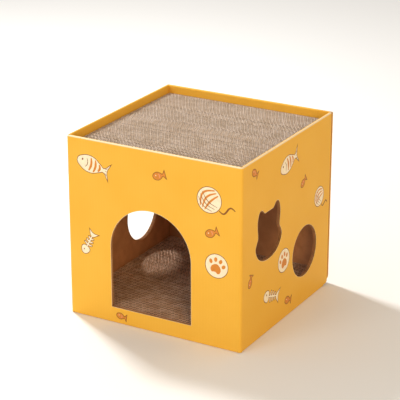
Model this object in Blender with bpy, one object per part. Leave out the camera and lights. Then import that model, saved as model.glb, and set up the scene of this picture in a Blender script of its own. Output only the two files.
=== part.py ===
"""Foldable cat house: a creased strip of printed board around two corrugated scratching pads.

Metres, +Z up. The origin is the middle of the base, the doorway faces -Y. Each wall is drawn in
its own frame, with x along the wall from left to right as seen from outside, y inward from its
outer face and z up, and is then turned into its place.
"""

import math

import bmesh
import bpy
from mathutils import Matrix, Vector

# The house as a whole
WIDTH = 0.380
DEPTH = 0.380
HEIGHT = 0.370

# Board thicknesses
BOARD = 0.003
SUPPORT = 0.003
SHELF = 0.003

# Creases and edges
CREASE_RADIUS = 0.006
BOTTOM_CREASE_RADIUS = 0.004
BACK_CORNER_RADIUS = 0.018

# Flaps
CLOSING_FLAP = 0.030
BOTTOM_FLAP = 0.060

# Pads
PAD_THICKNESS = 0.030
TOP_RECESS = 0.016
PLY_PITCH = 0.004
PLY_GROOVE = 0.0024
PLY_GROOVE_DEPTH = 0.0015

# Doorway in the front wall
DOOR_CENTRE = 0.1845
DOOR_WIDTH = 0.177
DOOR_SILL = 0.0336
DOOR_CROWN = 0.2483

# Cat-head window in the right wall: its middle, and half widths and heights down its outline
WINDOW_CENTRE = 0.109
WINDOW_BASE = 0.154
WINDOW_CHEEK = (0.053, 0.1845)
WINDOW_WAIST = (0.0435, 0.2095)
WINDOW_EAR_SIDE = (0.0445, 0.2485)
WINDOW_EAR_TIP = (0.034, 0.2615)
WINDOW_BROW = (0.017, 0.2515)

# Round holes
RIGHT_HOLE_CENTRE = (0.2645, 0.1135)
RIGHT_HOLE_RADIUS = 0.053
LEFT_HOLE_CENTRE = (0.1165, 0.123)
LEFT_HOLE_RADIUS = 0.059

# Clearances
GAP = 0.0003
FLAP_CLEARANCE = 0.001
SHELF_CLEARANCE = 0.0005
PAD_CLEARANCE = 0.002

# How finely round outlines are drawn
CREASE_STEPS = 4
ROLL_STEPS = 5
CLIP_STEPS = 8
CIRCLE_STEPS = 48
ARCH_STEPS = 28
BEZIER_STEPS = 7

# How far a cutting shape runs past the board it shapes
PAST = 0.010

# Finishes: satin print on one face of the board, bare kraft elsewhere
PRINT_COLOUR = (0.82, 0.47, 0.11)
PRINT_ROUGHNESS = 0.55
KRAFT_COLOUR = (0.30, 0.17, 0.09)
KRAFT_ROUGHNESS = 0.85
PAD_COLOUR = (0.55, 0.40, 0.29)
PAD_ROUGHNESS = 0.9

MERGE = 0.000001
QUARTER_TURN = math.pi / 2
DIAGONAL = math.sqrt(2)


def clear_scene():
    for obj in list(bpy.data.objects):
        bpy.data.objects.remove(obj, do_unlink=True)


def new_collection(name):
    collection = bpy.data.collections.new(name)
    bpy.context.scene.collection.children.link(collection)
    return collection


clear_scene()
HOUSE = new_collection("foldable_cat_house")
CUTTERS = new_collection("cutters")


def new_material(name, colour, roughness):
    material = bpy.data.materials.new(name)
    material.use_nodes = True
    shader = material.node_tree.nodes["Principled BSDF"]
    shader.inputs["Base Color"].default_value = (*colour, 1.0)
    shader.inputs["Roughness"].default_value = roughness
    shader.inputs["Metallic"].default_value = 0.0
    return material


def board_material(name, printed):
    if printed:
        return new_material(name, PRINT_COLOUR, PRINT_ROUGHNESS)
    return new_material(name, KRAFT_COLOUR, KRAFT_ROUGHNESS)


# Outlines


def arc(centre, radius, start, end, steps):
    """Points on a round stretch, angles in degrees."""
    angles = [math.radians(start + (end - start) * i / steps) for i in range(steps + 1)]
    return [(centre[0] + radius * math.cos(a), centre[1] + radius * math.sin(a)) for a in angles]


def circle(centre, radius):
    return arc(centre, radius, 0, 360, CIRCLE_STEPS)[:-1]


def mirrored(points, length):
    """The same points at the other end of a piece this long, in reverse order."""
    return [(length - x, y) for x, y in reversed(points)]


def crease_half(radius, thickness):
    """One half of a mitred crease, from its inner corner round its outer curve.

    The two halves meet at the outermost point of the curve, which is also the pivot.
    """
    short = math.degrees(math.asin(GAP / 2 / radius))
    inner = (thickness + GAP / DIAGONAL, thickness)
    return [inner, *arc((radius, radius), radius, 225 + short, 270, CREASE_STEPS)]


def crease_pivot(radius):
    """How far the pivot of a crease lies in from both outer faces."""
    return radius * (1 - 1 / DIAGONAL)


def doorway():
    radius = DOOR_WIDTH / 2
    spring = DOOR_CROWN - radius
    left = (DOOR_CENTRE - radius, DOOR_SILL)
    right = (DOOR_CENTRE + radius, DOOR_SILL)
    return [left, right, *arc((DOOR_CENTRE, spring), radius, 0, 180, ARCH_STEPS)]


def cat_head():
    """Anchor points of the window, each smooth or a corner, from the base round to the left."""
    half = [
        (WINDOW_CHEEK, "AUTO"),
        (WINDOW_WAIST, "VECTOR"),
        (WINDOW_EAR_SIDE, "AUTO"),
        (WINDOW_EAR_TIP, "AUTO"),
        (WINDOW_BROW, "VECTOR"),
    ]
    right = [((WINDOW_CENTRE + x, z), kind) for (x, z), kind in half]
    left = [((WINDOW_CENTRE - x, z), kind) for (x, z), kind in reversed(half)]
    return [((WINDOW_CENTRE, WINDOW_BASE), "AUTO"), *right, *left]


# Shapes from outlines


def add_spline(curve, outline):
    """Adds a closed outline: plain points, or anchors that each say if they are smooth."""
    smooth = isinstance(outline[0][1], str)
    spline = curve.splines.new("BEZIER" if smooth else "POLY")
    if smooth:
        spline.bezier_points.add(len(outline) - 1)
        for point, (place, kind) in zip(spline.bezier_points, outline):
            point.co = (*place, 0)
            point.handle_left_type = kind
            point.handle_right_type = kind
    else:
        spline.points.add(len(outline) - 1)
        for point, place in zip(spline.points, outline):
            point.co = (*place, 0, 1)
    spline.use_cyclic_u = True


def prism(name, outlines, low, high, turn):
    """A mesh object: flat outlines, the first with the rest as holes, made thick from low to high.

    turn is the matrix that lays the outline's own x, y and thickness along the wall's axes.
    """
    curve = bpy.data.curves.new(name, "CURVE")
    curve.dimensions = "2D"
    curve.fill_mode = "BOTH"
    curve.extrude = (high - low) / 2
    curve.resolution_u = BEZIER_STEPS
    for outline in outlines:
        add_spline(curve, outline)
    guide = bpy.data.objects.new(name + "_outline", curve)
    bpy.context.scene.collection.objects.link(guide)
    bpy.context.view_layer.update()
    graph = bpy.context.evaluated_depsgraph_get()
    mesh = bpy.data.meshes.new_from_object(guide.evaluated_get(graph))
    bpy.data.objects.remove(guide, do_unlink=True)
    mesh.name = name
    mesh.transform(turn @ Matrix.Translation((0, 0, (low + high) / 2)))
    shape = bmesh.new()
    shape.from_mesh(mesh)
    bmesh.ops.remove_doubles(shape, verts=shape.verts, dist=MERGE)
    bmesh.ops.recalc_face_normals(shape, faces=shape.faces)
    shape.to_mesh(mesh)
    shape.free()
    obj = bpy.data.objects.new(name, mesh)
    HOUSE.objects.link(obj)
    return obj


IN_PLAN = Matrix.Identity(4)
IN_SECTION = Matrix(((0, 0, 1, 0), (1, 0, 0, 0), (0, 1, 0, 0), (0, 0, 0, 1)))
IN_ELEVATION = Matrix.Rotation(QUARTER_TURN, 4, "X")


def plan(name, outlines, low, high):
    """Outlines in x and y, thick along z."""
    return prism(name, outlines, low, high, IN_PLAN)


def section(name, outlines, low, high):
    """Outlines in y and z, thick along x."""
    return prism(name, outlines, low, high, IN_SECTION)


def elevation(name, outlines, low, high):
    """Outlines in x and z, thick along y."""
    return prism(name, outlines, -high, -low, IN_ELEVATION)


def keep_inside(obj, bound):
    """Trims a piece to the shape of another, which is hidden."""
    for collection in list(bound.users_collection):
        collection.objects.unlink(bound)
    CUTTERS.objects.link(bound)
    bound.hide_render = True
    bound.display_type = "WIRE"
    bound.parent = obj
    trim = obj.modifiers.new(bound.name, "BOOLEAN")
    trim.operation = "INTERSECT"
    trim.solver = "EXACT"
    trim.object = bound


# Where things lie

BUTT = BOARD + GAP
FLOOR = BUTT
RIM = BUTT + BOARD
LINING = BUTT + SUPPORT
BETWEEN = max(RIM, LINING) + GAP
PAD_TOP = HEIGHT - TOP_RECESS
SHELF_TOP = PAD_TOP - PAD_THICKNESS - GAP
SHELF_UNDERSIDE = SHELF_TOP - SHELF
LIP_EDGE = SHELF_TOP + GAP
SUPPORT_TOP = SHELF_UNDERSIDE - GAP
HALF_WIDTH = WIDTH / 2
HALF_DEPTH = DEPTH / 2


class Side:
    """One side of the house: its own frame, its length and where its inner layer runs.

    A cut end is a free edge of the board; every other end turns a corner on a crease. A clipped
    end has its lower corner rounded off.
    """

    def __init__(self, name, quarter_turns, corner, length, inner, cut=(), clipped=()):
        self.name = name
        turn = Matrix.Rotation(quarter_turns * QUARTER_TURN, 4, "Z")
        self.place = Matrix.Translation((*corner, 0)) @ turn
        self.length = length
        self.inner_from, self.inner_to = inner
        self.cut = cut
        self.clipped = clipped


RIGHT_LENGTH = DEPTH - BUTT
FRONT = Side("front", 0, (-HALF_WIDTH, -HALF_DEPTH), WIDTH, (BUTT, WIDTH - BUTT))
RIGHT = Side("right", 1, (HALF_WIDTH, -HALF_DEPTH), RIGHT_LENGTH,
             (BETWEEN, RIGHT_LENGTH - BUTT), clipped=("last",))
BACK = Side("back", 2, (HALF_WIDTH, HALF_DEPTH), WIDTH,
            (CLOSING_FLAP + GAP, WIDTH - BUTT), cut=("first",), clipped=("first",))
LEFT = Side("left", 3, (-HALF_WIDTH, HALF_DEPTH), DEPTH, (BETWEEN, DEPTH - BETWEEN))


def put(obj, place, material, parent):
    """Turns a piece into its place and hangs it on what carries it."""
    obj.data.materials.append(material)
    obj.parent = parent
    obj.matrix_world = place
    bpy.context.view_layer.update()


def new_pivot(name, place, parent):
    """An empty on a joint's axis."""
    pivot = bpy.data.objects.new(name, None)
    HOUSE.objects.link(pivot)
    pivot.empty_display_size = BOTTOM_FLAP
    pivot.parent = parent
    pivot.matrix_world = Matrix.Translation(place)
    bpy.context.view_layer.update()
    return pivot


# Walls


def wall_plan(side):
    """The wall from above, with its creased or cut ends."""
    crease = crease_half(CREASE_RADIUS, BOARD)
    cut = [(-PAST, BOARD), (-PAST, 0)]
    first = cut if "first" in side.cut else crease
    last = cut if "last" in side.cut else crease
    return [*first, *mirrored(last, side.length)]


def wall_section():
    """The wall from its end: creased to its bottom flap, and rounded over at the rim."""
    crease = [(z, y) for y, z in crease_half(BOTTOM_CREASE_RADIUS, BOARD)]
    return [crease[0], *rim_quarter(), *reversed(crease[1:])]


def rim_quarter():
    """The rounded top of a wall, from the middle of the rim down to the outer face."""
    radius = RIM / 2
    short = math.degrees(math.asin(GAP / 2 / radius))
    return arc((radius, HEIGHT - radius), radius, 90 + short, 180, ROLL_STEPS)


def lower_corner(side, end, inset, x, z):
    """A panel's lower corner, this far in from the end of its side: rounded there if it is clipped."""
    radius = BACK_CORNER_RADIUS - inset
    if end not in side.clipped or radius <= 0:
        return [(x, z)]
    if end == "first":
        return arc((x + radius, z + radius), radius, 180, 270, CLIP_STEPS)
    return arc((x - radius, z + radius), radius, 270, 360, CLIP_STEPS)


def panel(side, left, right, low, high):
    first = lower_corner(side, "first", left, left, low)
    last = lower_corner(side, "last", side.length - right, right, low)
    return [(right, high), (left, high), *first, *last]


def build_wall(side, holes, pivot):
    name = side.name + "_wall"
    outline = panel(side, 0, side.length, 0, HEIGHT + PAST)
    wall = elevation(name, [outline, *holes], -PAST, BOARD + PAST)
    keep_inside(wall, section(name + "_section", [wall_section()], -PAST, side.length + PAST))
    keep_inside(wall, plan(name + "_plan", [wall_plan(side)], -PAST, HEIGHT + PAST))
    put(wall, side.place, board_material(name, printed=True), pivot)
    return wall


def build_lip(side, wall):
    """The flap of the blank that is turned over the rim and glued down inside the wall."""
    name = side.name + "_lip"
    rim = [(RIM - y, z) for y, z in reversed(rim_quarter())]
    lip = section(name, [[(BUTT, LIP_EDGE), (RIM, LIP_EDGE), *rim]], side.inner_from, side.inner_to)
    put(lip, side.place, board_material(name, printed=True), wall)


def build_support(side, holes, wall):
    """The kraft panel inside a wall, with the wall's own cut-outs."""
    name = side.name + "_support"
    outline = panel(side, side.inner_from, side.inner_to, FLOOR, SUPPORT_TOP)
    support = elevation(name, [outline, *holes], BUTT, LINING)
    put(support, side.place, board_material(name, printed=False), wall)


def mitred_end(inset):
    """The end of a bottom flap, from its free edge to its crease, clear of the next flap."""
    edge = BOTTOM_FLAP + PAST
    return [(edge + FLAP_CLEARANCE, edge), (inset, inset - FLAP_CLEARANCE), (inset, -PAST)]


def build_bottom_flap(side, wall):
    """The flap that turns in under a wall, mitred to its neighbours, on its own crease."""
    name = side.name + "_bottom_flap"
    clipped = BACK_CORNER_RADIUS + FLAP_CLEARANCE
    first = mitred_end(clipped if "first" in side.clipped else FLAP_CLEARANCE)
    last = mitred_end(clipped if "last" in side.clipped else FLAP_CLEARANCE)
    crease = crease_half(BOTTOM_CREASE_RADIUS, BOARD)
    profile = [*crease, (BOTTOM_FLAP, 0), (BOTTOM_FLAP, BOARD)]
    reach = crease_pivot(BOTTOM_CREASE_RADIUS)
    pivot = new_pivot(name + "_fold", side.place @ Vector((side.length / 2, reach, reach)), wall)
    flap = section(name, [profile], -PAST, side.length + PAST)
    outline = [*first, *mirrored(last, side.length)]
    keep_inside(flap, plan(name + "_plan", [outline], -PAST, BOARD + PAST))
    put(flap, side.place, board_material(name, printed=False), pivot)


def build_side(side, holes, pivot):
    wall = build_wall(side, holes, pivot)
    build_lip(side, wall)
    build_support(side, holes, wall)
    build_bottom_flap(side, wall)
    return wall


def build_closing_flap(pivot):
    """The flap at the end of the right wall, flat against the inside of the back wall."""
    crease = crease_half(CREASE_RADIUS, BOARD)
    outline = [*crease, (CLOSING_FLAP, 0), (CLOSING_FLAP, BOARD)]
    flap = plan("closing_flap", [outline], max(FLOOR, BACK_CORNER_RADIUS), HEIGHT)
    half_turn = Matrix.Rotation(2 * QUARTER_TURN, 4, "Z")
    place = Matrix.Translation((HALF_WIDTH, HALF_DEPTH - BUTT, 0)) @ half_turn
    put(flap, place, board_material("closing_flap", printed=True), pivot)


# Shelf and pads


def build_shelf(wall):
    """The board that carries the top pad, with one corner cut off to clear the closing flap."""
    clear = BOARD + SHELF_CLEARANCE
    x, y = HALF_WIDTH - clear, HALF_DEPTH - clear
    flap_edge = HALF_WIDTH - CLOSING_FLAP - SHELF_CLEARANCE
    flap_face = HALF_DEPTH - BUTT - BOARD - SHELF_CLEARANCE
    reach = flap_edge + flap_face
    outline = [(-x, -y), (x, -y), (x, reach - x), (reach - y, y), (-x, y)]
    shelf = plan("shelf_board", [outline], SHELF_UNDERSIDE, SHELF_TOP)
    put(shelf, Matrix.Identity(4), board_material("shelf_board", printed=False), wall)


def ply_profile(depth, low, high):
    """The pad's end view: strips of corrugated board on edge, open between their liners."""
    plies = int(depth / PLY_PITCH)
    margin = (depth - plies * PLY_PITCH) / 2
    top = []
    for ply in range(plies):
        middle = -depth / 2 + margin + (ply + 0.5) * PLY_PITCH
        left, right = middle - PLY_GROOVE / 2, middle + PLY_GROOVE / 2
        floor = high - PLY_GROOVE_DEPTH
        top += [(left, high), (left, floor), (right, floor), (right, high)]
    top = [(-depth / 2, high), *top, (depth / 2, high)]
    bottom = [(y, low + high - z) for y, z in reversed(top)]
    return [*top, *bottom]


def build_pad(name, inset, low, pivot):
    width = WIDTH - 2 * (inset + PAD_CLEARANCE)
    depth = DEPTH - 2 * (inset + PAD_CLEARANCE)
    profile = ply_profile(depth, low, low + PAD_THICKNESS)
    pad = section(name, [profile], -width / 2, width / 2)
    put(pad, Matrix.Identity(4), new_material(name, PAD_COLOUR, PAD_ROUGHNESS), pivot)


def build_house():
    reach = crease_pivot(CREASE_RADIUS)
    x, y = HALF_WIDTH - reach, HALF_DEPTH - reach
    left_hole = circle(LEFT_HOLE_CENTRE, LEFT_HOLE_RADIUS)
    right_hole = circle(RIGHT_HOLE_CENTRE, RIGHT_HOLE_RADIUS)

    front = build_side(FRONT, [doorway()], None)
    right_fold = new_pivot("right_wall_fold", (x, -y, 0), front)
    right = build_side(RIGHT, [cat_head(), right_hole], right_fold)
    left_fold = new_pivot("left_wall_fold", (-x, -y, 0), front)
    left = build_side(LEFT, [left_hole], left_fold)
    back_fold = new_pivot("back_wall_fold", (-x, y, 0), left)
    build_side(BACK, [], back_fold)
    flap_fold = new_pivot("closing_flap_fold", (x, y - BUTT, 0), right)
    build_closing_flap(flap_fold)

    build_shelf(front)
    build_pad("top_pad", RIM, LIP_EDGE, new_pivot("top_pad_lift", (0, 0, PAD_TOP), front))
    floor_pad_lift = new_pivot("bottom_pad_lift", (0, 0, FLOOR + PAD_THICKNESS), front)
    build_pad("bottom_pad", LINING, FLOOR, floor_pad_lift)


build_house()
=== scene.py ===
"""Foldable cat house: the board, the scratching pads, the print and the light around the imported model.

Metres, +Z up, doorway facing -Y. Each wall is drawn in its own frame: x along the wall from left to
right as seen from outside, y inward from its outer face, z up.
"""

import math

import bmesh
import bpy
from mathutils import Matrix, Vector


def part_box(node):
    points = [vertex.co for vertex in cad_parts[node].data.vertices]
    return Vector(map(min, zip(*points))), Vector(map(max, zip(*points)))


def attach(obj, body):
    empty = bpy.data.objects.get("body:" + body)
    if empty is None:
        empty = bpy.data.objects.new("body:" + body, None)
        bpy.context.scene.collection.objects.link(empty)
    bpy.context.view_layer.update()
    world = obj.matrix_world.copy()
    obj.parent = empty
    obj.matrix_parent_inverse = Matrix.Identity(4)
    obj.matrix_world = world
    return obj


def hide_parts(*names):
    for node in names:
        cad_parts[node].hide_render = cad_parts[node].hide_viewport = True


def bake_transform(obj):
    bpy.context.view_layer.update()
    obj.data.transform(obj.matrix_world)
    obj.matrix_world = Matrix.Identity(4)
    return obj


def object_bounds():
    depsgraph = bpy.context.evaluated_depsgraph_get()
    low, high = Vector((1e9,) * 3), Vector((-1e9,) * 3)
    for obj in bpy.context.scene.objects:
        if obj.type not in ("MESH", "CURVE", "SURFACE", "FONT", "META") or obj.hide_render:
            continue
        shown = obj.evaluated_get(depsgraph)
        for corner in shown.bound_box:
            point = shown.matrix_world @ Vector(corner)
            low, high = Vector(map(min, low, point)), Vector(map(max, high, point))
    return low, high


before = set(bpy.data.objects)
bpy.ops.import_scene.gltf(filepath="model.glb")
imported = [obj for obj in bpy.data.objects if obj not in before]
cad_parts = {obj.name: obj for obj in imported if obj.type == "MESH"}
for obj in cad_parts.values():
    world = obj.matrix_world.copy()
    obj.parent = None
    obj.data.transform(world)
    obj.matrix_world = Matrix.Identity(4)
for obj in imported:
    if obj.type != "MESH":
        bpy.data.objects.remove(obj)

CAD_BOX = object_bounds()
MM = 0.001

# The photograph's camera: where it stands, the way it looks and its lens, found from the edges of the
# house and of its openings
CAMERA_PLACE = (1.5002, -2.6543, 1.3797)
CAMERA_AZIMUTH = 29.559
CAMERA_ELEVATION = 20.996
CAMERA_REACH = 50
SENSOR = 36.0
PHOTO_WIDTH = 400.0
FOCAL_PIXELS = 1654.5

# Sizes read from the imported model
HALF_WIDTH, HALF_DEPTH, HEIGHT = CAD_BOX[1]
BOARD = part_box("front_lip")[1].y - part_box("front_lip")[0].y
LIP_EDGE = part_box("front_lip")[0].z
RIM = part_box("front_lip")[1].y + HALF_DEPTH
SUPPORT_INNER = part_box("front_support")[1].y + HALF_DEPTH
SUPPORT_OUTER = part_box("front_support")[0].y + HALF_DEPTH
SUPPORT_LOW, SUPPORT_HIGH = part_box("front_support")[0].z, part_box("front_support")[1].z
FLAP_LOW, FLAP_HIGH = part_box("closing_flap")
BOTTOM_FLAP_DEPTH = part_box("front_bottom_flap")[1].y + HALF_DEPTH
RIGHT_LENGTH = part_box("closing_flap")[1].y + HALF_DEPTH

# Sizes shared with the model's outlines
CREASE_RADIUS = 6 * MM
BOTTOM_CREASE_RADIUS = 4 * MM
CLIPPED_CORNER = 18 * MM
FLAP_CREASE_RADIUS = 4 * MM
FLAP_CLEARANCE = 1 * MM
SHELF_CLEARANCE = 0.5 * MM
CREASE_CLEARANCE = 0.5 * MM
DOOR_CENTRE, DOOR_WIDTH = 184.5 * MM, 177 * MM
DOOR_SILL, DOOR_CROWN = 33.6 * MM, 248.3 * MM
WINDOW_CENTRE, WINDOW_BASE = 109 * MM, 154 * MM
# Half of the cat-head window, in millimetres out from its middle and up, smooth or sharp at each point
WINDOW_HALF = [
    ((53.0, 184.5), "AUTO"),
    ((43.5, 209.5), "VECTOR"),
    ((44.5, 248.5), "AUTO"),
    ((34.0, 261.5), "AUTO"),
    ((17.0, 251.5), "VECTOR"),
]
RIGHT_HOLE_CENTRE, RIGHT_HOLE_RADIUS = (264.5 * MM, 113.5 * MM), 53 * MM
LEFT_HOLE_CENTRE, LEFT_HOLE_RADIUS = (116.5 * MM, 123 * MM), 59 * MM

# Single-wall board: two liners with a wavy sheet between them
LINER = 0.40 * MM
FLUTE_PAPER = 0.25 * MM
FLUTE_PITCH = 6.35 * MM
FLUTE_STEPS = 8

# Scratching pads: strips of the same kind of board standing on edge, side by side. Their plies are
# really 4 to 5 mm apart, of paper 0.2 mm thick, and both are drawn coarser so that the cells show
PLY_PITCH = 6.4 * MM
PLY_LINER = 0.70 * MM
PLY_PAPER = 0.65 * MM
PLY_WAVE = 8.0 * MM
PLY_WAVE_STEPS = 6
PLY_UNEVEN = 0.5 * MM
LINER_WAVE, LINER_SWING = 90 * MM, 0.08 * MM
LINER_COLUMNS = 25

# The plies' waves drift out of step by a slow noise: its scale from ply to ply, how many plies a metre
# along them counts as, and how many turns it shifts a wave
PLY_DRIFT = 0.07
PLY_DRIFT_ALONG = 4.0
PLY_DRIFT_TURNS = 4.0

# The print: each ink stands this much proud of the one below. The liner's pale core shows round the
# cut-outs, and over a cut end the liner is turned in a little proud of it
INK_STEP = 0.01 * MM
INK_LINE = 1.3 * MM
CUT_EDGE = 0.4 * MM
TURNED_STEP = 0.04 * MM
BRUSH_TIP = 0.55

PAST = 10 * MM
ARC_STEPS = 8
DOOR_STEPS = 48
MERGE = 0.001 * MM
QUARTER = math.pi / 2


# Outlines, as lists of points in a panel's own two directions


def arc(centre, radius, start, end, steps):
    """Points on a round stretch, angles in degrees."""
    angles = [math.radians(start + (end - start) * i / steps) for i in range(steps + 1)]
    return [(centre[0] + radius * math.cos(a), centre[1] + radius * math.sin(a)) for a in angles]


def circle(centre, radius, steps=64):
    return arc(centre, radius, 0, 360, steps)[:-1]


def rectangle(left, bottom, right, top):
    return [(left, bottom), (right, bottom), (right, top), (left, top)]


def doorway():
    radius = DOOR_WIDTH / 2
    spring = DOOR_CROWN - radius
    corners = [(DOOR_CENTRE - radius, DOOR_SILL), (DOOR_CENTRE + radius, DOOR_SILL)]
    return [*corners, *arc((DOOR_CENTRE, spring), radius, 0, 180, DOOR_STEPS)]


def cat_head():
    """Anchors of the window, each smooth or a corner."""
    half = [((x * MM, z * MM), kind) for (x, z), kind in WINDOW_HALF]
    right = [((WINDOW_CENTRE + x, z), kind) for (x, z), kind in half]
    left = [((WINDOW_CENTRE - x, z), kind) for (x, z), kind in reversed(half)]
    return [((WINDOW_CENTRE, WINDOW_BASE), "AUTO"), *right, *left]


# Meshes


def new_object(name, mesh):
    obj = bpy.data.objects.new(name, mesh)
    bpy.context.scene.collection.objects.link(obj)
    return obj


def baked(obj):
    """The object's evaluated shape as a plain mesh; the object itself is removed."""
    bpy.context.view_layer.update()
    graph = bpy.context.evaluated_depsgraph_get()
    mesh = bpy.data.meshes.new_from_object(obj.evaluated_get(graph))
    bpy.data.objects.remove(obj, do_unlink=True)
    return mesh


def tidied(mesh):
    shape = bmesh.new()
    shape.from_mesh(mesh)
    bmesh.ops.remove_doubles(shape, verts=shape.verts, dist=MERGE)
    bmesh.ops.recalc_face_normals(shape, faces=shape.faces)
    shape.to_mesh(mesh)
    shape.free()
    return mesh


def add_spline(curve, outline):
    """Adds a closed outline: plain points, or anchors that each say if they are smooth."""
    smooth = isinstance(outline[0][1], str)
    spline = curve.splines.new("BEZIER" if smooth else "POLY")
    points = spline.bezier_points if smooth else spline.points
    points.add(len(outline) - 1)
    for point, place in zip(points, outline):
        if smooth:
            point.co = (*place[0], 0)
            point.handle_left_type = place[1]
            point.handle_right_type = place[1]
        else:
            point.co = (*place, 0, 1)
    spline.use_cyclic_u = True


def plate(outlines, low, high, resolution=12, grown_by=0.0):
    """A flat plate: the first outline with the rest as holes, thick from low to high."""
    curve = bpy.data.curves.new("outline", "CURVE")
    curve.dimensions = "2D"
    curve.fill_mode = "BOTH"
    curve.extrude = (high - low) / 2
    curve.resolution_u = resolution
    curve.offset = grown_by
    for outline in outlines:
        add_spline(curve, outline)
    mesh = baked(new_object("outline", curve))
    mesh.transform(Matrix.Translation((0, 0, (low + high) / 2)))
    return tidied(mesh)


def joined(meshes):
    """One mesh from several, each keeping its own material index."""
    shape = bmesh.new()
    for mesh in meshes:
        shape.from_mesh(mesh)
    result = bpy.data.meshes.new("joined")
    shape.to_mesh(result)
    shape.free()
    return result


def with_material(mesh, index):
    for face in mesh.polygons:
        face.material_index = index
    return mesh


def cut(mesh, cutter_mesh, operation):
    """The mesh cut by another with an exact Boolean."""
    obj, cutter = new_object("cut", mesh), new_object("cutter", cutter_mesh)
    modifier = obj.modifiers.new("cut", "BOOLEAN")
    modifier.operation = operation
    modifier.solver = "EXACT"
    modifier.object = cutter
    result = baked(obj)
    bpy.data.objects.remove(cutter, do_unlink=True)
    return result


def new_tree(name, **labels):
    """A geometry tree with named inputs, listed by the kind of their socket."""
    tree = bpy.data.node_groups.new(name, "GeometryNodeTree")
    tree.interface.new_socket("Geometry", in_out="OUTPUT", socket_type="NodeSocketGeometry")
    for kind, names in labels.items():
        for label in names:
            tree.interface.new_socket(label, in_out="INPUT", socket_type="NodeSocket" + kind)
    return tree


def grown(tree, sizes):
    """The mesh that a geometry tree makes from these sizes."""
    obj = new_object(tree.name, bpy.data.meshes.new(tree.name))
    modifier = obj.modifiers.new(tree.name, "NODES")
    modifier.node_group = tree
    for socket in tree.interface.items_tree:
        if socket.in_out == "INPUT":
            modifier[socket.identifier] = sizes[socket.name]
    return baked(obj)


def add(tree, kind, inputs=(), **settings):
    """Adds a node with its settings.

    Each input is a value, another node's output, or a node, which stands for its first output.
    """
    node = tree.nodes.new(kind)
    for name, value in settings.items():
        setattr(node, name, value)
    for name, value in dict(inputs).items():
        if isinstance(value, bpy.types.Node):
            value = value.outputs[0]
        if isinstance(value, bpy.types.NodeSocket):
            tree.links.new(value, node.inputs[name])
        else:
            node.inputs[name].default_value = value
    return node


# Finishes

# Roughness and IOR
SEALED_PRINT = (0.46, 1.48)
RAW_KRAFT = (0.86, 1.45)
CUT_PAPER = (0.90, 1.45)
MATT_FLOOR = (0.7, 1.45)
PRINT_SPECULAR = 0.08

# How wide the blotches of each paper and ink are, and its fibres
INK_DRIFT, INK_MOTTLE = 90 * MM, 6 * MM
KRAFT_CLOUDS, PAD_CLOUDS = 25 * MM, 18 * MM
LINER_FIBRE, KRAFT_FIBRE, PAD_FIBRE = 0.7 * MM, 0.9 * MM, 0.8 * MM

# The rubbed edge of the rim: how far in and down it starts and where it is full, its fray, and how
# bare it gets
RUB_IN, RUB_DOWN = (3.4 * MM, 2.2 * MM), (3.0 * MM, 1.6 * MM)
RUB_FRAY = 5 * MM
RUB_BARE = 0.85

# The pads' pale cut edge: how deep from the top and from the sides it starts and where it is full,
# and how pale the sides are. Deeper in, the cell walls carry painted shade
PALE_TOP, PALE_SIDE = (1.3 * MM, 0.1 * MM), (2 * MM, 0.5 * MM)
PALE_SIDE_SHARE = 0.6

# How much the ridges over the flutes darken the print, and how strongly a paper's relief tells
FLUTE_SHADE = 0.05
PAPER_RELIEF = 0.6


def srgb(code):
    """A hex colour as linear red, green and blue."""
    channels = [int(code[i:i + 2], 16) / 255 for i in (1, 3, 5)]
    linear = [c / 12.92 if c <= 0.04045 else ((c + 0.055) / 1.055) ** 2.4 for c in channels]
    return (*linear, 1.0)


def new_material(name, roughness, ior):
    """A material's tree, its shader and its place in the piece's own metres."""
    material = bpy.data.materials.new(name)
    material.use_nodes = True
    tree = material.node_tree
    shader = tree.nodes["Principled BSDF"]
    shader.inputs["Roughness"].default_value = roughness
    shader.inputs["IOR"].default_value = ior
    place = add(tree, "ShaderNodeTexCoord").outputs["Object"]
    return material, tree, shader, place


def clouds(tree, place, size, detail):
    """Soft blotches of about this size, from 0 to 1."""
    blotches = add(tree, "ShaderNodeTexNoise", {"Vector": place, "Scale": 1 / size, "Detail": detail})
    return add(tree, "ShaderNodeMapRange", {"Value": blotches, "From Min": 0.3, "From Max": 0.7},
               interpolation_type="SMOOTHSTEP")


def flute_ridges(tree, place):
    """Ridges over the flutes, which stand upright in all four walls."""
    x, y, _ = add(tree, "ShaderNodeSeparateXYZ", {0: place}).outputs
    along = add(tree, "ShaderNodeMath", {0: x, 1: y}, operation="ADD")
    turn = add(tree, "ShaderNodeMath", {0: along, 1: 2 * math.pi / FLUTE_PITCH}, operation="MULTIPLY")
    return add(tree, "ShaderNodeMath", {0: turn}, operation="SINE")


def emboss(tree, shader, ridges, fibre, flute_rise, fibre_rise):
    """Raises the flutes and the fibres from a paper's surface, by these shares of a millimetre."""
    fibres = add(tree, "ShaderNodeMath", {0: fibre, 1: fibre_rise}, operation="MULTIPLY")
    height = add(tree, "ShaderNodeMath", {0: ridges, 1: flute_rise, 2: fibres}, operation="MULTIPLY_ADD")
    bump = add(tree, "ShaderNodeBump", {"Height": height, "Distance": 1 * MM, "Strength": PAPER_RELIEF})
    tree.links.new(bump.outputs[0], shader.inputs["Normal"])


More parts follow.
